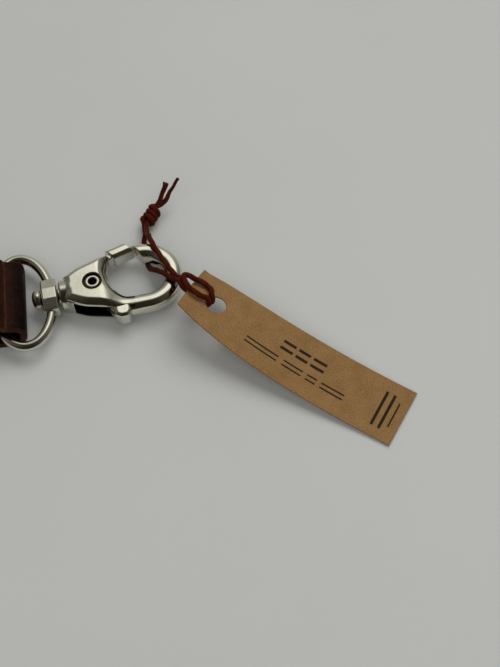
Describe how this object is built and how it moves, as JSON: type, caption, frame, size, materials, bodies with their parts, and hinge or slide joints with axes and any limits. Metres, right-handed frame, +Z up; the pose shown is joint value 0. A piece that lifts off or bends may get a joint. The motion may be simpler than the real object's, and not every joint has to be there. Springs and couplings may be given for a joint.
{
  "type": "keychain",
  "caption": "Leather strap keychain with an oval swivel eye, a trigger snap hook and a card tag tied on by a thin cord.",
  "frame": {"origin": "centre of the strap's flat underside", "axes": "+X along the strap towards the hook, +Y across the strap, +Z up from the surface it lies on"},
  "size_m": [0.1842, 0.0785, 0.0114],
  "materials": {
    "leather": "satin",
    "cast_metal": "polished casting",
    "rivet_metal": "polished",
    "spring_wire": "drawn wire",
    "card": "uncoated",
    "cord": "waxed"
  },
  "bodies": {
    "strap": {"strap": "leather", "rivet_cap": "rivet_metal", "rivet_post": "rivet_metal"},
    "eye": {"swivel_eye": "cast_metal"},
    "hook": {"hook_body": "cast_metal", "swivel_pin": "cast_metal", "gate_rivet": "rivet_metal", "gate_spring": "spring_wire"},
    "gate": {"gate_lever": "cast_metal"},
    "tag": {"hang_tag": "card", "cord_loop": "cord", "cord_knot": "cord", "cord_tails": "cord"}
  },
  "joints": [
    {"name": "ring_hinge", "type": "hinge", "parent": "strap", "child": "eye", "pos_m": [0.04214, -0.00083, 0.004], "axis": [-0.0785, 0.9969, 0], "range_deg": [-30, 30]},
    {"name": "hook_swivel", "type": "hinge", "parent": "eye", "child": "hook", "pos_m": [0.0539, 0.0001, 0.004], "axis": [0.9969, 0.0785, 0], "continuous": true},
    {"name": "gate_pivot", "type": "hinge", "parent": "hook", "child": "gate", "pos_m": [0.06457, 0.00094, 0.004], "axis": [0, 0, -1], "range_deg": [0, 36], "stiffness_Nm_per_rad": 0.02, "springref_deg": -22.92},
    {"name": "tag_swing", "type": "hinge", "parent": "hook", "child": "tag", "pos_m": [0.08009, 0.00893, 0.004], "axis": [-0.901, 0.4338, 0], "range_deg": [0, 60]}
  ]
}
